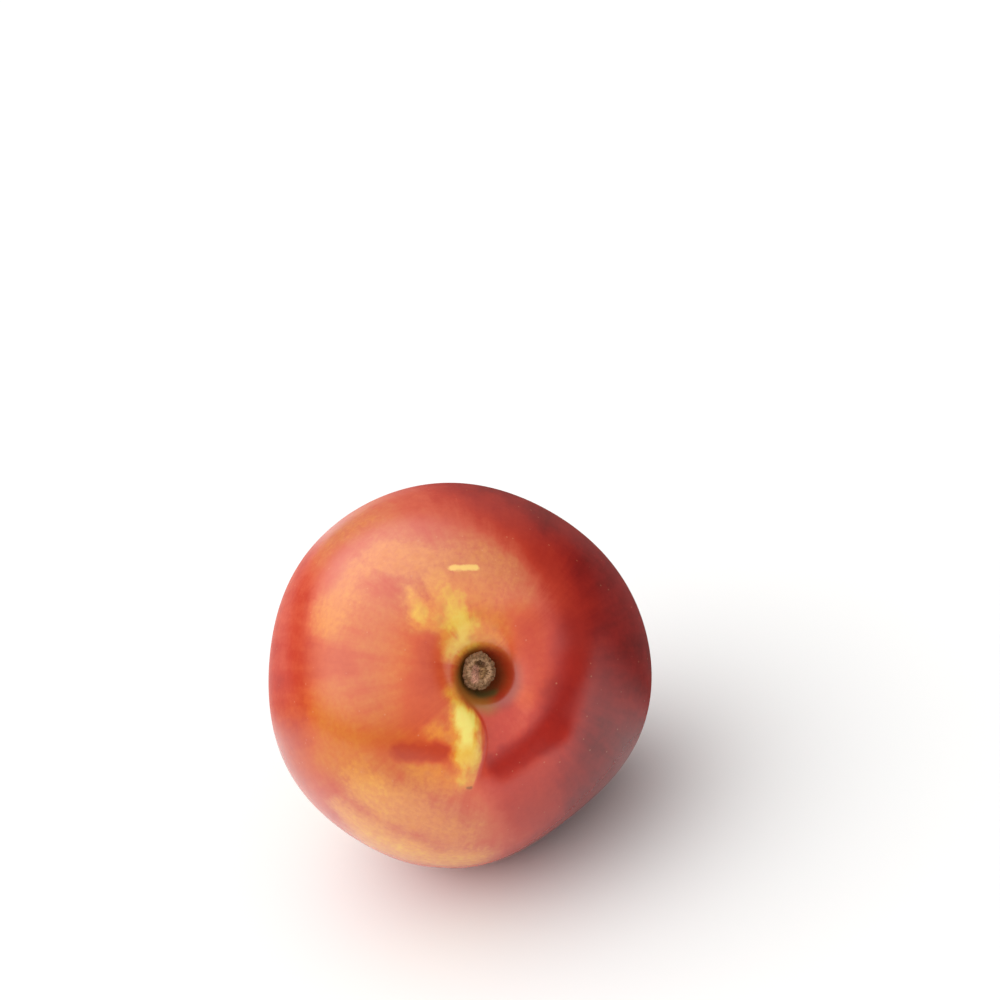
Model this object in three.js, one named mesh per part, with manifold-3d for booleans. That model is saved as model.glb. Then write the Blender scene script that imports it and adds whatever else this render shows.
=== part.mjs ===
// A nectarine lying on its cheek, as picked: the fruit, with its stem cavity, its suture groove and the
// small dimple of its blossom end, and the woody stub of the stalk that stayed behind in the cavity.
// Millimetres and degrees. The group's frame has +Z up and its origin on the table, under the middle of
// the bounding box. Both pieces are shaped in the growth frame first: its +Z leaves through the stem end,
// its +X points at the suture, and its origin is the middle of the flesh.
import * as THREE from "three";
import { mergeVertices } from "three/addons/utils/BufferGeometryUtils.js";
import Module from "manifold-3d";

// Driving dimensions of the fruit.
const EQUATOR_RADIUS = 34.92;
const HALF_HEIGHT = 34.0;
const SHOULDER_FULLNESS = 0.018;
const TIP_TAPER = 0.014;

// The equator isn't a circle: each lobe adds a share of the radius, count times round, with its first
// crest at that many degrees from the suture.
const LOBES = [
  { count: 2, share: 0.0067, crest: -54.3 },
  { count: 3, share: 0.0201, crest: -22.6 },
  { count: 4, share: 0.0064, crest: 4.1 },
  { count: 5, share: 0.0066, crest: 9.2 },
  { count: 6, share: 0.0054, crest: 6.7 },
];

// The stem cavity is a wide funnel with a steeper pit in it, each a little off the axis. The funnel is
// longer along the suture.
const FUNNEL_DEPTH = 5.0;
const FUNNEL_RADIUS = 9.4;
const FUNNEL_OFFSET = [-0.5, 1.0];
const FUNNEL_STRETCH = 1.04;
const PIT_DEPTH = 5.2;
const PIT_RADIUS = 4.2;
const PIT_STEEPNESS = 2.5;
const PIT_OFFSET = [1.0, 0.6];

// The suture groove opens from the cavity's rim and fades on the shoulder. It has a steep lip on one side
// and a gentle slope on the other. Its crease bows out on the shoulder, away from the lip, and swings the
// other way at the cavity.
const GROOVE_DEPTH = 1.7;
const GROOVE_START = 7.5;
const GROOVE_SHOULDER = 17;
const GROOVE_REACH = 15.5;
const GROOVE_FAINTEST = 0.25;
const GROOVE_AT_TIP = 0.7;
const GROOVE_LIP = 1.5;
const GROOVE_SLOPE = 7.0;
const GROOVE_BOW = 3.0;
const GROOVE_SWING = 17;
const GROOVE_SWING_REACH = 4.0;

// The blossom end is a shallow dimple with the style's tiny point in it.
const DIMPLE_DEPTH = 1.3;
const DIMPLE_RADIUS = 6.0;
const POINT_HEIGHT = 0.7;
const POINT_RADIUS = 1.1;

// How the fruit lies: its stem end looks forwards and up, and the flesh is pressed flat where it rests.
const STEM_ELEVATION = 30;
const STEM_YAW = 9.5;
const SUTURE_SPIN = -120;
const REST_HEIGHT = 33.1;
const REST_EASE = 0.3;

// The stub of the stalk, in its socket in the pit's floor. It is wider along the suture than across it.
const STUB_PLACE = [0.36, -0.3];
const STUB_RADIUS = 2.9;
const STUB_HEIGHT = 6.1;
const STUB_WAIST = 2.5;
const STUB_STRETCH = 1.13;
const SOCKET_DEPTH = 1.0;
const SOCKET_GAP = 0.3;
const STUB_SIDES = 36;

// The sphere's grid, drawn together towards the suture and towards both ends.
const AROUND = 68;
const ALONG = 54;
const SUTURE_DRAW = 0.45;
const POLE_DRAW = 0.66;

const { cos, sin, abs, exp, hypot, atan2, acos, min, PI } = Math;
const radians = THREE.MathUtils.degToRad;

// A bell that is 1 at 0 and falls to about a third at the given radius.
function bell(distance, radius, steepness = 2) {
  return exp(-((abs(distance) / radius) ** steepness));
}

function equatorRadius(azimuth) {
  const lobes = LOBES.map(({ count, share, crest }) => share * cos(count * (azimuth - radians(crest))));
  return EQUATOR_RADIUS * (1 + lobes.reduce((sum, lobe) => sum + lobe));
}

// How far the cavity sinks the skin at a point beside the axis, in the growth frame's X and Y.
function cavityDepth(x, y) {
  const funnel = bell(hypot((x - FUNNEL_OFFSET[0]) / FUNNEL_STRETCH, y - FUNNEL_OFFSET[1]), FUNNEL_RADIUS);
  const pit = bell(hypot(x - PIT_OFFSET[0], y - PIT_OFFSET[1]), PIT_RADIUS, PIT_STEEPNESS);
  return FUNNEL_DEPTH * funnel + PIT_DEPTH * pit;
}

// How far the groove sinks the skin, from the polar angle, the distance from the axis and the arc from the
// suture's meridian.
function grooveDepth(polar, out, arc) {
  const shoulder = bell(polar - radians(GROOVE_SHOULDER), radians(GROOVE_REACH), 2.5);
  const opening = GROOVE_DEPTH * shoulder * (1 - bell(out, GROOVE_START, 4));
  const tip = GROOVE_AT_TIP * bell(polar - radians(165), radians(22)) * (1 - bell(out, 3));
  const off = arc - GROOVE_BOW * shoulder + GROOVE_SWING * exp(-out / GROOVE_SWING_REACH);
  const across = off < 0 ? bell(off, GROOVE_LIP, 2) : bell(off, GROOVE_SLOPE, 1.5);
  return opening * across + (GROOVE_FAINTEST * sin(polar) ** 4 + tip) * bell(arc, 3.5, 1.3);
}

// A point of the skin before it is pressed flat: an ellipse turned about the stem axis, with full
// shoulders and a slight taper to the tip, less the groove, the cavity and the dimple.
function skinPoint(polar, azimuth) {
  const c = cos(polar);
  const s = sin(polar);
  const ellipse = 1 / hypot(s / equatorRadius(azimuth), c / HALF_HEIGHT);
  const fullness = 1 + (SHOULDER_FULLNESS + TIP_TAPER * c) * sin(2 * polar) ** 2;
  const out = ellipse * s;
  const radius = ellipse * fullness - grooveDepth(polar, out, out * azimuth);
  const x = radius * s * cos(azimuth);
  const y = radius * s * sin(azimuth);
  const sunk = c > 0 ? cavityDepth(x, y) : 0;
  const axisDistance = hypot(x, y);
  const dimple = DIMPLE_DEPTH * bell(axisDistance, DIMPLE_RADIUS) - POINT_HEIGHT * bell(axisDistance, POINT_RADIUS);
  return new THREE.Vector3(x, y, radius * c - sunk + (c < 0 ? dimple : 0));
}

// The turn from the growth frame to how the fruit lies.
const lying = new THREE.Quaternion()
  .setFromAxisAngle(new THREE.Vector3(0, 0, 1), radians(STEM_YAW))
  .multiply(new THREE.Quaternion().setFromAxisAngle(new THREE.Vector3(1, 0, 0), radians(90 - STEM_ELEVATION)))
  .multiply(new THREE.Quaternion().setFromAxisAngle(new THREE.Vector3(0, 0, 1), radians(SUTURE_SPIN)));
const down = new THREE.Vector3(0, 0, -1).applyQuaternion(lying.clone().invert());

// Presses a point flat against the table: its depth below the middle eases into REST_HEIGHT and stays.
function press(point) {
  const depth = point.dot(down);
  const into = min(depth - (REST_HEIGHT - REST_EASE), 2 * REST_EASE);
  if (into <= 0) return point;
  const eased = REST_HEIGHT - REST_EASE + into - (into * into) / (4 * REST_EASE);
  return point.addScaledVector(down, eased - depth);
}

// A geometry with only its merged corners left, so that each corner is moved once and stays closed.
function merged(geometry) {
  geometry.deleteAttribute("normal");
  geometry.deleteAttribute("uv");
  return mergeVertices(geometry, 1e-4);
}

// Moves every corner of a geometry by a function from Vector3 to Vector3.
function reshaped(geometry, move) {
  const position = geometry.getAttribute("position");
  for (let i = 0; i < position.count; i++) {
    const moved = move(new THREE.Vector3().fromBufferAttribute(position, i));
    position.setXYZ(i, moved.x, moved.y, moved.z);
  }
  return geometry;
}

function fruitSkin() {
  const sphere = merged(new THREE.SphereGeometry(1, AROUND, ALONG).rotateX(PI / 2));
  return reshaped(sphere, (direction) => {
    const even = atan2(direction.y, direction.x);
    const azimuth = even - SUTURE_DRAW * sin(even);
    const level = acos(THREE.MathUtils.clamp(direction.z, -1, 1));
    const polar = level - (POLE_DRAW / 2) * sin(2 * level);
    return press(skinPoint(polar, azimuth));
  });
}

// The pit's floor on the axis, from which the stub and its socket are measured.
const pitFloor = skinPoint(0, 0).z;
const stubBottom = pitFloor - SOCKET_DEPTH + SOCKET_GAP;

// The socket that the stub grows out of: a short cut, stretched along the suture like the stub.
function socketCutter() {
  const height = SOCKET_DEPTH + PIT_DEPTH;
  return merged(
    new THREE.CylinderGeometry(STUB_WAIST + SOCKET_GAP, STUB_WAIST + SOCKET_GAP, height, STUB_SIDES)
      .rotateX(PI / 2)
      .scale(STUB_STRETCH, 1, 1)
      .translate(...STUB_PLACE, pitFloor - SOCKET_DEPTH + height / 2),
  );
}

// The stub: a waisted plug with a flared head, a raised ring on its torn face and a hollow pith. Its
// sides are fluted by the fibres, and one edge of the face stands higher where the stalk tore.
function stubGeometry() {
  const profile = [
    [0, 0],
    [STUB_WAIST * 0.9, 0],
    [STUB_WAIST, 0.25],
    [STUB_WAIST, STUB_HEIGHT - 2.3],
    [STUB_WAIST + 0.12, STUB_HEIGHT - 1.6],
    [STUB_RADIUS, STUB_HEIGHT - 1.0],
    [STUB_RADIUS, STUB_HEIGHT - 0.7],
    [STUB_RADIUS - 0.25, STUB_HEIGHT - 0.4],
    [STUB_RADIUS - 0.75, STUB_HEIGHT - 0.35],
    [STUB_RADIUS - 1.05, STUB_HEIGHT],
    [STUB_RADIUS - 1.45, STUB_HEIGHT],
    [STUB_RADIUS - 1.75, STUB_HEIGHT - 0.35],
    [0.55, STUB_HEIGHT - 0.45],
    [0.35, STUB_HEIGHT - 0.85],
    [0, STUB_HEIGHT - 0.9],
  ].map(([radius, height]) => new THREE.Vector2(radius, height));
  const lathe = merged(new THREE.LatheGeometry(profile, STUB_SIDES).rotateX(PI / 2));
  return reshaped(lathe, ({ x, y, z }) => {
    const azimuth = atan2(y, x);
    const head = THREE.MathUtils.smoothstep(z, STUB_HEIGHT - 2.3, STUB_HEIGHT - 0.8);
    const flute = 1 + head * (0.035 * cos(5 * azimuth + 0.8) + 0.02 * cos(9 * azimuth));
    const torn = head * (0.28 * cos(azimuth - radians(150)) + 0.08 * cos(4 * azimuth)) * (hypot(x, y) / STUB_RADIUS);
    return new THREE.Vector3(x * flute * STUB_STRETCH, y * flute, z + torn);
  });
}

const wasm = await Module();
wasm.setup();

function solid(geometry) {
  const mesh = new wasm.Mesh({
    numProp: 3,
    vertProperties: new Float32Array(geometry.getAttribute("position").array),
    triVerts: new Uint32Array(geometry.index.array),
  });
  return new wasm.Manifold(mesh);
}

function geometryOf(manifold) {
  const { vertProperties, triVerts } = manifold.getMesh();
  const geometry = new THREE.BufferGeometry()
    .setAttribute("position", new THREE.BufferAttribute(vertProperties, 3))
    .setIndex(new THREE.BufferAttribute(triVerts, 1));
  geometry.computeVertexNormals();
  return geometry;
}

function piece(name, geometry, material) {
  const mesh = new THREE.Mesh(geometry, new THREE.MeshStandardMaterial(material));
  mesh.name = name;
  return mesh;
}

const fruit = piece("fruit", geometryOf(solid(fruitSkin()).subtract(solid(socketCutter()))), {
  color: 0xb8403a,
  roughness: 0.32,
  metalness: 0,
});
const stub = piece("stem_stub", geometryOf(solid(stubGeometry())), {
  color: 0x7d6247,
  roughness: 0.9,
  metalness: 0,
});
stub.position.set(...STUB_PLACE, stubBottom);

const asItLies = new THREE.Group();
asItLies.quaternion.copy(lying);
asItLies.add(fruit, stub);

// The table is at z = 0, and X and Y are measured from the middle of the bounding box.
const nectarine = new THREE.Group();
nectarine.add(asItLies);
const middle = new THREE.Box3().setFromObject(nectarine, true).getCenter(new THREE.Vector3());
asItLies.position.set(-middle.x, -middle.y, REST_HEIGHT);

export default nectarine;
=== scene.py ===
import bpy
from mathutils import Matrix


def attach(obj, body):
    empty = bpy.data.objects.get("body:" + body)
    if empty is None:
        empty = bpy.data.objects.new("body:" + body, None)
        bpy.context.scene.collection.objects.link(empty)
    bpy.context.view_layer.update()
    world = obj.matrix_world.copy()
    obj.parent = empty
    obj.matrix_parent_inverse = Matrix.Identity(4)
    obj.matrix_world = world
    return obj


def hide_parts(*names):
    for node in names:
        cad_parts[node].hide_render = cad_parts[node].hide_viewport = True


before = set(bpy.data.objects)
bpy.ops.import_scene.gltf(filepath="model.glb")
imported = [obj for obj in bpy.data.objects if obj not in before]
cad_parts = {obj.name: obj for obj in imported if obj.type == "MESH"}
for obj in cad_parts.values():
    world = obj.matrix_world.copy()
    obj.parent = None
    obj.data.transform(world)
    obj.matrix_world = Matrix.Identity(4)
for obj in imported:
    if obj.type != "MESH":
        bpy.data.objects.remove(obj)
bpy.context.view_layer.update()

from math import radians

import bpy
import numpy as np
from mathutils import Matrix, Vector

# The camera looks down on the fruit from the front, along the optical axis below, and is rolled by 19
# degrees. It stands far enough back for a long lens.
MM = 0.001
FRUIT_CENTRE = Vector((-0.202, 0.268, 33.1)) * MM
CAMERA_OFFSET = Vector((0, -312.61, 197.23)) * MM
CAMERA_ACROSS = Vector((0.93507, -0.20729, -0.28755)).normalized()
CAMERA_AXIS = Vector((0.05082, 0.88121, -0.46999))
CAMERA_UP = CAMERA_ACROSS.cross(CAMERA_AXIS).normalized()

camera_data = bpy.data.cameras.new("camera")
camera_data.sensor_width = 36
camera_data.lens = 72
camera_data.clip_start = 0.01
camera = bpy.data.objects.new("camera", camera_data)
bpy.context.scene.collection.objects.link(camera)
turned = Matrix((CAMERA_ACROSS, CAMERA_UP, CAMERA_ACROSS.cross(CAMERA_UP))).transposed().to_4x4()
camera.matrix_world = Matrix.Translation(FRUIT_CENTRE + CAMERA_OFFSET) @ turned
bpy.context.scene.camera = camera


# The skin and flesh of the fruit: one closed surface, smooth and waxy, without fuzz. Its stem cavity is a
# funnel with a steep pit, its suture runs from the pit over the shoulder, and its underside is pressed flat
# where it lies. Made in the growth frame: +Z out of the stem end, +X towards the suture.
STEM_ELEVATION = radians(30)
STEM_YAW = radians(9.5)
SUTURE_SPIN = radians(-120)
LYING = (
    Matrix.Rotation(STEM_YAW, 3, "Z")
    @ Matrix.Rotation(radians(90) - STEM_ELEVATION, 3, "X")
    @ Matrix.Rotation(SUTURE_SPIN, 3, "Z")
)
REST_HEIGHT = 33.1
REST_EASE = 0.3
HALF_LENGTH = 34.0
HALF_WIDTH = 34.92
LOBES = ((2, 0.0067, -54.3), (3, 0.0201, -22.6), (4, 0.0064, 4.1), (5, 0.0066, 9.2), (6, 0.0054, 6.7))
SHOULDER_AT, SHOULDER_SPREAD = radians(17), radians(15.5)
CREASE_BOW, CREASE_SWING, SWING_FADES = 3.0, 17.0, 4.0
GROOVE_DEPTH, LIP_WIDTH, SLOPE_WIDTH = 1.7, 1.5, 7.0
BELLY_GROOVE, TIP_GROOVE = 0.25, 0.7
FUNNEL_AT, FUNNEL_RADIUS, FUNNEL_DEPTH, FUNNEL_STRETCH = (-0.5, 1.0), 9.4, 5.0, 1.04
PIT_AT, PIT_RADIUS, PIT_DEPTH = (1.0, 0.6), 4.2, 5.2
DIMPLE_RADIUS, DIMPLE_DEPTH = 6.0, 1.3
POINT_RADIUS, POINT_HEIGHT = 1.1, 0.7


def bell(distance, radius, steepness=2.0):
    """1 at 0 and about a third at the radius: e to the power of minus (distance / radius) ** steepness."""
    return np.exp(-((np.abs(distance) / radius) ** steepness))


def skin_points(polar, azimuth):
    """The skin over a grid of polar angle from the stem and azimuth from the suture, in growth-frame mm.

    Each point lies on an ellipse turned about the stem axis: as high as the half length and, at the
    equator, as wide as the half width times one plus the lobes' cosines. The shoulders are fuller by a
    share of the squared sine of twice the polar angle. The suture's groove is taken off the radius: a bell
    of the arc from its crease, narrow on the lip's side and wide on the other, where the crease bows on the
    shoulder and swings aside at the pit. It goes on faintly over the belly and deepens near the blossom
    end. The funnel and the pit lower the stem end by bells of the distance from their centres, and the
    dimple raises the blossom end, less the point in it. Last, the depth below the middle eases into the
    height that the fruit rests at.
    """
    c, s = np.cos(polar), np.sin(polar)
    lobes = sum(share * np.cos(n * (azimuth - radians(crest))) for n, share, crest in LOBES)
    ellipse = 1 / np.hypot(s / (HALF_WIDTH * (1 + lobes)), c / HALF_LENGTH)
    out = ellipse * s
    arc = out * azimuth
    shoulder = bell(polar - SHOULDER_AT, SHOULDER_SPREAD, 2.5)
    crease = arc - CREASE_BOW * shoulder + CREASE_SWING * np.exp(-out / SWING_FADES)
    across = np.where(crease < 0, bell(crease, LIP_WIDTH), bell(crease, SLOPE_WIDTH, 1.5))
    opening = GROOVE_DEPTH * shoulder * (1 - bell(out, 7.5, 4)) * across
    tip = TIP_GROOVE * bell(polar - radians(165), radians(22)) * (1 - bell(out, 3))
    groove = opening + (BELLY_GROOVE * s**4 + tip) * bell(arc, 3.5, 1.3)
    radius = ellipse * (1 + (0.018 + 0.014 * c) * np.sin(2 * polar) ** 2) - groove
    x, y = radius * s * np.cos(azimuth), radius * s * np.sin(azimuth)
    from_funnel = np.hypot((x - FUNNEL_AT[0]) / FUNNEL_STRETCH, y - FUNNEL_AT[1])
    funnel = FUNNEL_DEPTH * bell(from_funnel, FUNNEL_RADIUS)
    pit = PIT_DEPTH * bell(np.hypot(x - PIT_AT[0], y - PIT_AT[1]), PIT_RADIUS, 2.5)
    dimple = DIMPLE_DEPTH * bell(np.hypot(x, y), DIMPLE_RADIUS)
    point = POINT_HEIGHT * bell(np.hypot(x, y), POINT_RADIUS)
    points = np.stack([x, y, radius * c + np.where(c > 0, -funnel - pit, dimple - point)], -1)
    down = np.array(LYING.transposed() @ Vector((0, 0, -1)))
    depth = points @ down
    into = np.minimum(depth - (REST_HEIGHT - REST_EASE), 2 * REST_EASE)
    eased = REST_HEIGHT - REST_EASE + into - into**2 / (4 * REST_EASE)
    return points + np.where(into > 0, eased - depth, 0)[..., None] * down


def closed_shell(name, rows, first_pole, last_pole):
    """A mesh object from rows of points that close round, with a pole before the first and after the last.

    The rows are given in mm in the growth frame, and the mesh is written in metres in the row frame.
    """
    count, around = rows.shape[:2]
    points = np.vstack([first_pole[None], rows.reshape(-1, 3), last_pole[None]])
    points = (points @ np.array(LYING).T) * MM + np.array(FRUIT_CENTRE)
    row, step = np.meshgrid(np.arange(count - 1), np.arange(around), indexing="ij")
    here = 1 + row * around + step
    beside = 1 + row * around + (step + 1) % around
    quads = np.stack([here, here + around, beside + around, beside], -1).reshape(-1, 4)
    ring = np.arange(around)
    after = (ring + 1) % around
    last = 1 + (count - 1) * around
    caps = np.vstack(
        [
            np.stack([np.zeros_like(ring), 1 + ring, 1 + after], -1),
            np.stack([np.full_like(ring, last + around), last + after, last + ring], -1),
        ]
    )
    mesh = bpy.data.meshes.new(name)
    mesh.from_pydata(points.tolist(), [], quads.tolist() + caps.tolist())
    mesh.shade_smooth()
    piece = bpy.data.objects.new(name, mesh)
    bpy.context.scene.collection.objects.link(piece)
    return piece


# The rows of the mesh crowd towards both ends of the fruit, and its columns towards the suture.
level = np.linspace(0, np.pi, 250)[1:-1]
level = level - 0.33 * np.sin(2 * level)
even = np.linspace(-np.pi, np.pi, 361)[:-1]
azimuth_grid, polar_grid = np.meshgrid(even - 0.45 * np.sin(even), level)
ends = skin_points(np.array([0.0, np.pi]), np.array([0.0, 0.0]))
skin = closed_shell("nectarine_skin", skin_points(polar_grid, azimuth_grid), ends[0], ends[1])
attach(skin, "root")
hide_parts("fruit")


class Wire:
    """An output socket in a node tree. Arithmetic on it adds Math nodes to the tree."""

    def __init__(self, tree, socket):
        self.tree, self.socket = tree, socket

    def maths(self, operation, *others, first=False):
        values = [*others, self] if first else [self, *others]
        return self.tree.node("ShaderNodeMath", {"operation": operation}, dict(enumerate(values)))

    def __add__(self, other):
        return self.maths("ADD", other)

    def __sub__(self, other):
        return self.maths("SUBTRACT", other)

    def __rsub__(self, other):
        return self.maths("SUBTRACT", other, first=True)

    def __mul__(self, other):
        return self.maths("MULTIPLY", other)

    def __truediv__(self, other):
        return self.maths("DIVIDE", other)

    def __pow__(self, other):
        return self.maths("POWER", other)

    def __or__(self, other):
        """Two masks as one: 1 wherever either of them is."""
        return self + (1 - self) * other

    __radd__ = __add__
    __rmul__ = __mul__


class Tree:
    """A material's node tree. node() adds a node of any type and returns one of its outputs as a Wire."""

    def __init__(self, piece):
        material = bpy.data.materials.new(piece.name)
        material.use_nodes = True
        piece.data.materials.append(material)
        self.nodes, self.links = material.node_tree.nodes, material.node_tree.links
        self.shader = self.nodes["Principled BSDF"]

    def fill(self, node, sockets):
        for name, value in sockets.items():
            if isinstance(value, Wire):
                self.links.new(value.socket, node.inputs[name])
            else:
                node.inputs[name].default_value = value

    def node(self, kind, settings=None, sockets=None, output=0):
        node = self.nodes.new(kind)
        for name, value in (settings or {}).items():
            if name == "stops":
                ramp = node.color_ramp
                while len(ramp.elements) < len(value):
                    ramp.elements.new(0.5)
                for element, (position, colour) in zip(ramp.elements, value):
                    element.position, element.color = position, colour
            else:
                setattr(node, name, value)
        self.fill(node, sockets or {})
        return Wire(self, node.outputs[output])

    def vectors(self, operation, sockets, output=0):
        return self.node("ShaderNodeVectorMath", {"operation": operation}, sockets, output)

    def axes(self, place):
        return (self.node("ShaderNodeSeparateXYZ", None, {0: place}, axis) for axis in "XYZ")

    def growth_frame(self, centre):
        """The place on the piece, in growth-frame mm from a centre that is given in the row frame."""
        place = self.node("ShaderNodeTexCoord", None, None, "Object")
        sockets = {"Vector": place, "Location": centre, "Rotation": LYING.to_euler(), "Scale": (MM, MM, MM)}
        return self.node("ShaderNodeMapping", {"vector_type": "TEXTURE"}, sockets)

    def mix(self, factor, below, above):
        """The colour below, with the colour above laid over it by factor."""
        sockets = {"Factor": factor, 6: below, 7: above}
        return self.node("ShaderNodeMix", {"data_type": "RGBA"}, sockets, 2)

    def glaze(self, factor, below, glass):
        """The colour below, seen through a glass of another colour by factor."""
        sockets = {"Factor": factor, 6: below, 7: glass}
        return self.node("ShaderNodeMix", {"data_type": "RGBA", "blend_type": "MULTIPLY"}, sockets, 2)

    def noise(self, vector, scale, detail=3.0, roughness=0.5):
        sockets = {"Vector": vector, "Scale": scale, "Detail": detail, "Roughness": roughness}
        return self.node("ShaderNodeTexNoise", None, sockets)

    def bell(self, distance, radius, steepness=2.0):
        """The same bell as the mesh's, of a wire."""
        share = distance.maths("ABSOLUTE") / radius
        return (share**steepness * -1.0).maths("EXPONENT")

    def near(self, place, first, last):
        """The distance from a place to the line between two points."""
        run = np.subtract(last, first)
        offset = self.vectors("SUBTRACT", {0: place, 1: first})
        along = self.vectors("DOT_PRODUCT", {0: offset, 1: run}, "Value")
        clamped = {"operation": "MULTIPLY", "use_clamp": True}
        along = self.node("ShaderNodeMath", clamped, {0: along, 1: 1 / (run @ run)})
        nearest = self.vectors("SCALE", {0: run, "Scale": along})
        return self.vectors("DISTANCE", {0: offset, 1: nearest}, "Value")

    def step(self, value, low, high):
        """0 below low and 1 above high, with a smooth rise between them."""
        sockets = {"Value": value, "From Min": low, "From Max": high}
        return self.node("ShaderNodeMapRange", {"interpolation_type": "SMOOTHSTEP"}, sockets)


paint = Tree(skin)
growth = paint.growth_frame(FRUIT_CENTRE)
x, y, z = paint.axes(growth)
away = (x * x + y * y) ** 0.5
stem_end = paint.step(z, 0, 10)

# Streaks run from the stem to the blossom end. Their pattern is drawn on the direction from the stem axis,
# so they close up towards both ends, and lengthwise on the height.
STREAKS_ROUND = 7
aside = away + 0.5
fan = {"X": x / aside * STREAKS_ROUND, "Y": y / aside * STREAKS_ROUND, "Z": z * 0.05}
fan = paint.node("ShaderNodeCombineXYZ", None, fan)
streak = paint.noise(fan, scale=1.0, detail=4, roughness=0.65) - 0.5
broad = paint.noise(growth, scale=0.055, detail=1) - 0.5
cloud = paint.noise(growth, scale=0.22, detail=4, roughness=0.6) - 0.5
fleck = paint.noise(growth, scale=1.1, detail=3, roughness=0.6) - 0.5

# Blush is 0 where the skin ripened yellow in the shade and 1 where the sun turned it maroon. It deepens to
# the right and over the top, and a little at the far left.
shaded = (1 - paint.step(y, 5, 23)) * (1 - paint.step(y * 0.6 - x, 20, 36))
far_left = paint.step(y * -1.0, 24, 31)
blush = 0.53 + (1 - shaded) * 0.37 + far_left * 0.10
blush = blush + broad * 0.16 + cloud * 0.16 + streak * 0.18

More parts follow.
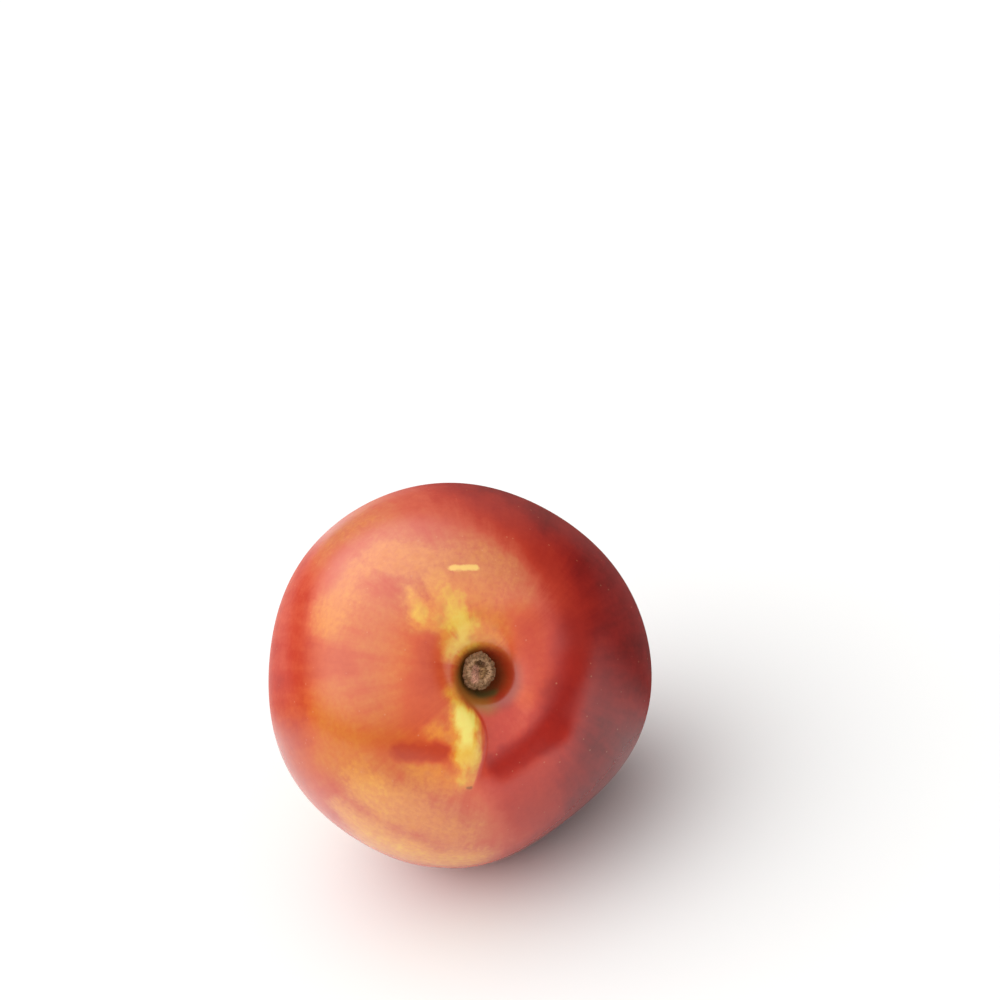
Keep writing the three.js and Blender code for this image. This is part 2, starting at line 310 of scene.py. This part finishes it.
# Each mark of the ripening is a stroke between two points of the skin: its ends in growth-frame mm, the
# radii where it is full and where it has faded out, the blush inside it, and its strength. The two pale
# cheeks are partly the pale ground and partly painted highlight. The later ones lie over the earlier
# ones, and the shift makes their edges ragged.
shift = paint.node("ShaderNodeTexNoise", None, {"Vector": growth, "Scale": 0.4, "Detail": 2.0}, "Color")
shift = paint.vectors("SUBTRACT", {0: shift, 1: (0.5, 0.5, 0.5)})
ragged = paint.vectors("MULTIPLY_ADD", {0: shift, 1: (2.0, 2.0, 2.0), 2: growth})
STROKES = {
    "orange tint high on the left": ((-25, -23, 14), (-19, -25, 14), 1, 10, 0.38, 0.85),
    # Partly pale ground and partly painted highlight, where the lamp's broad reflection is brightest.
    "pale cheek and painted highlight on the left": ((-13, -24, 22), (-8, -24.5, 22), 2, 8, 0.35, 0.9),
    "red above the pale cheek": ((-18, -24.5, 18), (-14, -26, 19), 0.5, 5.0, 0.54, 0.9),
    # Partly pale ground and partly painted highlight, along the lamp's broad reflection.
    "pale cheek and painted highlight higher up": ((-18.5, -19, 25), (-17, -11, 28.5), 1.5, 6.5, 0.34, 0.9),
    "coral left of the stem": ((-7, -18, 29), (0, -15.5, 31), 0, 8, 0.43, 0.7),
    "orange ground on the left": ((9, -24, 24), (17, -21, 22), 2, 8, 0.44, 0.9),
    "yellow ground low on the left": ((21.5, -16.5, 22), (25, -10, 22.5), 1.5, 8, 0.26, 0.95),
    "yellow ground under the suture": ((24, -9, 23.5), (27, -2, 22), 1, 8, 0.33, 0.85),
    "yellow ground beside the suture": ((17.5, -9, 29), (19.5, -5, 29), 0.8, 5.0, 0.34, 0.8),
    "peach ground low on the left": ((27, -20, 14), (30.5, -8, 15), 1.5, 6.0, 0.27, 0.9),
    "peach ground towards the floor": ((31, -14, 9), (33, 2, 13), 2, 9, 0.22, 0.85),
    "orange ground beside the stem": ((-15, -1.5, 31), (-8, 3, 31), 0.5, 6, 0.39, 0.9),
    "red below the funnel": ((17, 7, 28), (26, 13, 24), 2, 8, 0.73, 0.85),
    "red past the stem": ((-10, 7, 30), (1, 9.5, 30), 0, 5, 0.66, 0.9),
    "peach high on the shoulder": ((-21.2, -6, 27), (-20.5, -1, 28), 0.5, 4.5, 0.42, 0.75),
    "peach past the rub": ((-18, -7, 29), (-16.8, 1.5, 29), 1.0, 5.5, 0.34, 0.85),
    "peach right of the yellow": ((-16.5, 1.5, 30), (-12.5, 6, 30), 0.5, 5.0, 0.40, 0.8),
    "orange above the stem": ((-13.5, -5.0, 31), (-4, -1.0, 29.5), 1.2, 6.0, 0.33, 0.9),
    "orange ground beside the yellow": ((-14, -8.6, 30.5), (-8, -7.6, 31), 1.0, 3.4, 0.27, 0.95),
    "orange left of the yellow, far end": ((-11.5, -12.8, 30), (-9, -11.8, 30), 0.5, 3.0, 0.26, 0.95),
    "orange left of the yellow, middle": ((-8.2, -11.2, 30), (-5.4, -9.4, 30), 1.1, 3.4, 0.18, 1.0),
    "orange left of the yellow, at the pit": ((-5.2, -9.0, 30), (-3.0, -6.2, 30), 1.1, 3.3, 0.18, 1.0),
    "yellow above the stem": ((-11.5, -5.6, 30), (-8, -4.8, 30), 0.6, 3.2, 0.14, 1.0),
    "yellow at the pit": ((-7.6, -4.5, 30), (-5.2, -3.3, 29), 1.3, 4.1, 0.10, 1.0),
    "orange rim of the pit": ((-5.6, -1.8, 29), (-5.0, 1.5, 29), 0.5, 2.4, 0.34, 0.8),
    "red left of the suture": ((3, -11, 31), (9, -10, 31), 0.5, 4.0, 0.60, 0.7),
    "red beside the pit": ((-4, -9.5, 32), (3, -8.5, 32), 0.5, 4.0, 0.61, 0.9),
    "deep red high on the shoulder": ((-28, 1, 17), (-19, 10.5, 26), 1, 6, 0.75, 0.8),
    "deep red round the funnel, upper part": ((-8, 15, 30), (3, 14.2, 30.5), 0.8, 5, 0.80, 0.9),
    "deep red round the funnel, lower part": ((3, 14.2, 30.5), (10.5, 11.5, 30), 1.2, 5, 0.85, 1.0),
    "deep red round the funnel, end": ((10.5, 11.5, 30), (15.5, 4, 30), 1.0, 4, 0.81, 1.0),
    "orange beside the suture's lip": ((11, -7.5, 30.5), (13, -4.5, 30.5), 0.2, 3.2, 0.30, 0.9),
    "red streak on the left shoulder": ((15.0, -12.5, 29.5), (14.2, -6.0, 30.5), 1.0, 2.8, 0.67, 1.0),
    "yellow lip of the suture, at the pit": ((4.5, -4.6, 31), (8, -2.6, 31), 0.4, 2.6, 0.23, 1.0),
    "yellow lip of the suture": ((8.5, -2.4, 31), (14.5, -1.5, 30), 1.0, 3.8, 0.0, 1.0),
    "yellow lip of the suture, far end": ((14.5, -1.6, 30), (18.3, -1.3, 28.7), 0.6, 3.0, 0.19, 0.9),
    "yellow ground under the fruit": ((10, -16, -24), (-6, -12, -28), 5, 19, 0.22, 0.95),
    "yellow ground behind": ((-22, -14, -16), (-12, -20, -20), 2, 12, 0.34, 0.8),
}
edges = (streak + cloud * 0.8 + fleck * 0.2) * 3
for first, last, full, faded, inside, strength in STROKES.values():
    gap = paint.near(ragged, first, last)
    cover = paint.step(gap + edges * min(1, faded / 9), faded, full) * strength
    blush = blush + (inside - blush) * cover

# The yellow of the lip ends sharply at the crease, where the skin beyond it is pink and red again.
BEYOND_CREASE = 0.66
crease_at = CREASE_BOW * paint.bell(away - 9.9, 9.0) - CREASE_SWING * paint.bell(away, SWING_FADES, 1.0)
beyond = paint.step(y - crease_at, -0.9, -0.2) * paint.step(y, 9, 5)
beyond = beyond * paint.step(x, 3, 6) * paint.step(x, 22, 17)
lift = (BEYOND_CREASE - blush).maths("MAXIMUM", 0.0)
blush = blush + lift * beyond * stem_end

# Flecks stand out most on the pale ground. The ramp turns the blush into colour, from yellow to maroon.
pale = paint.step(blush, 0.55, 0.35) * paint.step(blush, 0.08, 0.2)
blush = blush + fleck * (0.08 + pale * 0.16) + streak * 0.08
tone = paint.node(
    "ShaderNodeValToRGB",
    {
        "stops": [
            (0.0, (0.92, 0.76, 0.16, 1)),
            (0.13, (0.90, 0.54, 0.075, 1)),
            (0.28, (0.78, 0.30, 0.085, 1)),
            (0.42, (0.66, 0.175, 0.072, 1)),
            (0.55, (0.61, 0.095, 0.047, 1)),
            (0.66, (0.51, 0.047, 0.024, 1)),
            (0.78, (0.38, 0.026, 0.017, 1)),
            (0.89, (0.265, 0.017, 0.014, 1)),
            (1.0, (0.15, 0.012, 0.01, 1)),
        ]
    },
    {0: blush},
)

# The reds are warmer than the ramp's on the left half and past the stem, and warmer again on the left
# shoulder. Those round the pit are a little lighter, and a thin grey-pink wash pales the skin at the top:
# partly bloom and partly painted sheen, where the wax coat is thinned.
reddened = paint.step(blush, 0.1, 0.3) * stem_end
left_half = paint.step(x, -16, -4) * paint.step(x, 24, 15) * paint.step(y, 4, -1) * paint.step(y, -33, -27)
past_stem = paint.step(paint.near(growth, (-7, 5.5, 30), (1, 7.5, 30)), 6.5, 3)
tone = paint.glaze((left_half | past_stem * 0.95) * reddened, tone, (1, 1, 0.5, 1))
left_shoulder = paint.step(x, 3, 12) * paint.step(x, 24, 17) * paint.step(y, 0, -4)
tone = paint.glaze(left_shoulder * reddened, tone, (1, 1, 0.45, 1))
# Painted sheen, partly bloom: the top is paled where the wax coat is thinned.
tone = paint.mix(paint.step(x * -1.0, 20, 31) * 0.1, tone, (0.60, 0.34, 0.30, 1))
round_pit = paint.step(paint.near(growth, (0, -1, 30), (8, 4, 30)), 19, 11)
tone = paint.glaze(round_pit * paint.step(blush, 0.15, 0.4), tone, (1.15, 1.03, 1, 1))

# Brown specks on the yellow ground and tiny pale pores everywhere.
specks = paint.node("ShaderNodeTexVoronoi", None, {"Vector": ragged, "Scale": 0.45}, "Distance")
tone = paint.mix(paint.step(specks + fleck * 0.5, 0.5, 0.1) * pale * 0.35, tone, (0.68, 0.20, 0.05, 1))
pores = paint.node("ShaderNodeTexVoronoi", None, {"Vector": growth, "Scale": 0.42}, "Distance")
tone = paint.mix(paint.step(pores, 0.09, 0.04) * 0.22, tone, (0.80, 0.42, 0.22, 1))

# A healed rub is a short yellow bar across the shoulder, and a dark dot sits past the end of the suture.
rub = paint.step(paint.near(growth, (-16.6, -6.4, 29.8), (-17.0, -2.4, 30.0)) + fleck * 0.8, 0.85, 0.35)
tone = paint.mix(rub * 0.9, tone, (0.96, 0.62, 0.16, 1))
dot = paint.step(paint.near(ragged, (19.9, -0.6, 28.6), (20.0, -0.3, 28.6)), 0.65, 0.2)
tone = paint.mix(dot * 0.6, tone, (0.20, 0.06, 0.02, 1))

# The pit is russeted: brown and rough round the stub and redder on the right, with one green spot where the
# suture comes in. Its browns and dark reds are partly russeting and partly painted shade of the recess.
from_pit = ((x - PIT_AT[0]) ** 2 + (y - PIT_AT[1]) ** 2) ** 0.5 + cloud * 1.5
russet_and_shade = paint.step(paint.near(growth, (1.7, 1.3, 20), (1.7, 1.3, 40)) + cloud * 1.2, 6.8, 4.4)
red_side = paint.step(y - x * 0.35, -1.5, 2.5)
# Painted shade in the pit: these dark browns and reds stand partly for russeting and partly for the
# recess's shade.
wall = paint.mix(red_side, (0.36, 0.15, 0.025, 1), (0.33, 0.025, 0.008, 1))
bottom = paint.mix(red_side, (0.28, 0.14, 0.04, 1), (0.30, 0.065, 0.018, 1))
tone = paint.mix(russet_and_shade * 0.85, tone, wall)
tone = paint.mix(paint.step(from_pit, 4.5, 3.0) * stem_end * 0.9, tone, bottom)
green = paint.step(paint.near(growth, (3.9, 0.6, 27), (3.6, 2.6, 27)), 1.5, 0.3)
tone = paint.mix(green * 0.7, tone, (0.12, 0.12, 0.035, 1))

# The blossom end keeps a dry brown point, with a thin olive ring.
from_tip = paint.near(growth, (0, 0, -34), (0, 0, -30)) + cloud * 1.2
tone = paint.mix(paint.step(from_tip, 3.2, 1.2) * 0.6, tone, (0.30, 0.15, 0.04, 1))
tone = paint.mix(paint.step(from_tip, 1.0, 0.4) * 0.9, tone, (0.09, 0.04, 0.015, 1))

# The wax is a glossy coat. It is worn thin on the right, at the top, at the far left and on the deep red
# round the funnel, and whole towards the blossom end. The grain and the pores under it are very shallow.
finish = 0.27 + cloud * 0.12 + fleck * 0.1 + russet_and_shade * 0.35
upper_arc = paint.near(growth, (-2, 15.5, 30), (9, 13.5, 30))
lower_arc = paint.near(growth, (9, 13.5, 30), (16.5, 5, 30))
worn = paint.step(y - x * 1.1, 13, 33) * 0.92
worn = worn | paint.step(x * -1.0, 21, 31) * 0.75
worn = worn | far_left * paint.step(x, 16, 8) * 0.75
worn = worn | paint.step(upper_arc, 5, 1) * 0.8
worn = worn | paint.step(lower_arc, 4, 1) * 0.8
gloss = 1.0 - worn * paint.step(z, -18, 8)
grain = paint.noise(growth, scale=3.2, detail=2) * 0.3 + fleck * 0.6 + cloud * 2.0
grain = grain + paint.step(pores, 0.0, 0.1) * 0.4
raised = paint.node("ShaderNodeBump", None, {"Height": grain, "Strength": 0.12, "Distance": 0.2 * MM})
paint.fill(
    paint.shader,
    {
        "Base Color": tone,
        "Roughness": finish,
        "Normal": raised,
        "Specular IOR Level": 0.0,
        "Coat Weight": gloss,
        "Coat Roughness": 0.24,
        "Coat IOR": 1.6,
        "Subsurface Weight": 0.08,
        "Subsurface Scale": 2 * MM,
    },
)

# The stub of the stalk: a plug of dry, fibrous wood that tore off just above the pit's floor when the fruit
# was picked. Its head is wider than its waist, and shows a sunken pith inside a paler ring, a dark notch in
# that ring and a flap of torn bark.
STUB_CENTRE = np.array([0.36, -0.3])
STUB_FOOT = 23.6
STUB_FACE = 29.5
STUB_RADIUS = 2.9
STUB_RIM = 0.35
STUB_WAIST = 2.4
STUB_STRETCH = 1.08
RIDGES = ((7, 0.05, 2), (13, 0.04, -3), (19, 0.04, 4), (29, 0.03, 1), (41, 0.02, 2), (53, 0.015, 0))
LUMPS = ((2, 0.04, 0.4), (3, 0.03, 1.9), (5, 0.02, 4.0))


def stub_points(path, azimuth):
    """The stub over a path from the middle of its face, over the rim and down to its foot, in mm.

    The face takes the path's first half, its radius growing evenly; the rim is a quarter round over the
    next tenth; the side narrows to the waist and widens again at the foot. The relief of the face is a sum
    of bells: a ring raised, which wanders in and out, the pith sunk, the notch cut, the flap lifted.
    Ridges, each with its count, height and bend, run out over the face and down the side, and lumps make
    the stub uneven. It is wider along the suture than across it. The points are in the growth frame.
    """
    face = np.clip(path / 0.5, 0, 1)
    rim = np.clip((path - 0.5) / 0.1, 0, 1)
    side = np.clip((path - 0.6) / 0.4, 0, 1)
    radius = (STUB_RADIUS - STUB_RIM) * face + STUB_RIM * np.sin(rim * np.pi / 2)
    narrowing = np.sin(np.clip(side * 1.4, 0, 1) * np.pi / 2) ** 2
    radius = radius - (STUB_RADIUS - STUB_WAIST) * narrowing + 0.5 * np.clip(side - 0.6, 0, 1)
    height = STUB_FACE - STUB_RIM * (1 - np.cos(rim * np.pi / 2))
    height = height - (STUB_FACE - STUB_RIM - STUB_FOOT) * side
    phases = random.uniform(0, 2 * np.pi, len(RIDGES))
    ridges = sum(
        share * np.cos(n * azimuth + phase + bend * radius)
        for (n, share, bend), phase in zip(RIDGES, phases)
    )
    lumps = sum(share * np.cos(n * azimuth + phase) for n, share, phase in LUMPS)
    spread = radius * (1 + lumps + 0.35 * ridges * face**3)
    x, y = spread * np.cos(azimuth) * STUB_STRETCH, spread * np.sin(azimuth)
    wander = 0.22 * np.cos(azimuth - 1.0) + 0.16 * np.cos(2 * azimuth + 2.6) + 0.1 * np.cos(5 * azimuth)
    ring = 0.42 * bell(radius - 1.7 - wander, 0.45) * (0.75 + 0.25 * np.cos(azimuth - 0.8))
    pith = 0.42 * bell(np.hypot(x - 0.2, (y + 0.2) * 1.3), 0.95, 3)
    pith = pith - 0.3 * bell(np.hypot(x * 0.5 - 0.3, y + 0.6), 0.4)
    notch = 0.85 * bell(np.hypot(x + 1.3, (y - 0.1) * 0.9), 0.45)
    flap = 0.45 * bell(np.hypot((x + 2.5) * 1.1, (y + 1.15) * 0.9), 0.75, 3)
    slope = -0.28 * bell(radius - STUB_RADIUS, 0.8) * face
    relief = ring - pith - notch + flap + slope + ridges * (0.5 + 1.5 * face)
    height = height + (1 - side) * relief * np.clip(1.2 - rim * 0.4, 0, 1)
    return np.stack([x + STUB_CENTRE[0], y + STUB_CENTRE[1], height], -1)


random = np.random.default_rng(7)
path = np.concatenate([np.linspace(0.01, 0.6, 96), np.linspace(0.61, 1, 40)])
around_grid, path_grid = np.meshgrid(np.linspace(-np.pi, np.pi, 181)[:-1], path)
rows = stub_points(path_grid, around_grid)
stub = closed_shell("stem_stub_wood", rows, rows[0].mean(0), rows[-1].mean(0))
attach(stub, "root")
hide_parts("stem_stub")

# The wood is coloured in rings from the middle of its face, which patches and crumbs of noise break up. Its
# fibres fan out from the middle and run down the side.
FIBRES_ROUND = 4
RING_STRETCH = 1.13
OLDEST = 3.2
bark = Tree(stub)
upright = bark.growth_frame(FRUIT_CENTRE + LYING @ Vector((*STUB_CENTRE, STUB_FACE)) * MM)
x, y, z = bark.axes(upright)
away = ((x / RING_STRETCH) ** 2 + y * y) ** 0.5
aside = away + 0.2
fan = {"X": x / aside * FIBRES_ROUND, "Y": y / aside * FIBRES_ROUND, "Z": z * 0.5 + away * 0.35}
fan = bark.node("ShaderNodeCombineXYZ", None, fan)
fibre = bark.noise(fan, scale=1.6, detail=4, roughness=0.7) - 0.5
crumb = bark.noise(upright, scale=2.4, detail=4, roughness=0.65) - 0.5
patch = bark.noise(upright, scale=0.9, detail=2) - 0.5
age = away / OLDEST + crumb * 0.35 + fibre * 0.3 + patch * 0.6
wood = bark.node(
    "ShaderNodeValToRGB",
    {
        "stops": [
            (0.0, (0.40, 0.20, 0.09, 1)),
            (0.22, (0.46, 0.25, 0.11, 1)),
            (0.38, (0.18, 0.085, 0.03, 1)),
            (0.55, (0.54, 0.32, 0.18, 1)),
            (0.72, (0.22, 0.115, 0.05, 1)),
            (0.86, (0.32, 0.17, 0.09, 1)),
            (1.0, (0.13, 0.065, 0.025, 1)),
        ]
    },
    {0: age},
)

# The pith is pinkish and the notch dark. The cracks between the fibres are darker still, and the foot of
# the stub, down in the pit, is darkened with painted shade.
pith = bark.step(bark.near(upright, (-0.3, -0.6, 0), (1.5, -0.7, 0)) + crumb, 1.0, 0.4)
wood = bark.mix(pith * 0.85, wood, (0.68, 0.33, 0.23, 1))
hollow = bark.step(bark.near(upright, (-1.3, -0.2, 0), (-1.2, 0.5, 0)) + crumb * 0.5, 0.75, 0.3)
wood = bark.mix(hollow * 0.8, wood, (0.10, 0.035, 0.012, 1))
cracks = bark.step(fibre + crumb, 0.0, -0.24)
wood = bark.mix(cracks * 0.8, wood, (0.06, 0.03, 0.01, 1))
# Painted shade: the foot of the stub, down in the pit, is darkened.
foot = bark.step(z, -0.6, -2.2)
wood = bark.mix(foot * 0.9, wood, (0.045, 0.03, 0.01, 1))
raised = bark.node("ShaderNodeBump", None, {"Height": fibre + crumb, "Strength": 0.7, "Distance": 0.4 * MM})
bark.fill(
    bark.shader,
    {
        "Base Color": wood,
        "Roughness": 0.85 + fibre * 0.2,
        "Normal": raised,
        "Specular IOR Level": 0.25,
    },
)

# The floor is a plain white sheet, far wider than the picture.
REACH = 4
floor_mesh = bpy.data.meshes.new("floor")
corners = [(-REACH, -REACH, 0), (REACH, -REACH, 0), (REACH, REACH, 0), (-REACH, REACH, 0)]
floor_mesh.from_pydata(corners, [], [(0, 1, 2, 3)])
floor = bpy.data.objects.new("floor", floor_mesh)
bpy.context.scene.collection.objects.link(floor)
sheet = Tree(floor)
sheet.fill(sheet.shader, {"Base Color": (0.88, 0.88, 0.87, 1), "Roughness": 0.9, "Specular IOR Level": 0.2})

# The light is a wide soft tent overhead, brighter on the side of its lamp and open towards the horizon all
# round, where only a faint light comes in.
TENT_AXIS = Vector((-0.345, -0.314, 0.885))
LAMP_AXIS = Vector((-0.63, 0.28, 0.72))
FAINT = 0.08
world = bpy.data.worlds.new("tent")
world.use_nodes = True
bpy.context.scene.world = world


class Sky(Tree):
    """The world's node tree."""

    def __init__(self, world):
        self.nodes, self.links = world.node_tree.nodes, world.node_tree.links
        self.shader = self.nodes["Background"]


sky = Sky(world)
towards = sky.node("ShaderNodeTexCoord", None, None, "Generated")
to_tent = sky.vectors("DOT_PRODUCT", {0: towards, 1: TENT_AXIS}, "Value")
to_lamp = sky.vectors("DOT_PRODUCT", {0: towards, 1: LAMP_AXIS}, "Value")
height = sky.node("ShaderNodeSeparateXYZ", None, {0: towards}, "Z")
tent = sky.step(to_tent, 0.1, 0.42) * sky.step(height, 0.05, 0.35)
tent = tent * (sky.step(to_lamp, 0.2, 1.0) * 1.1 + 0.85)
sky.fill(sky.shader, {"Color": (1, 1, 1, 1), "Strength": tent + FAINT})

bpy.context.scene.view_settings.view_transform = "Standard"
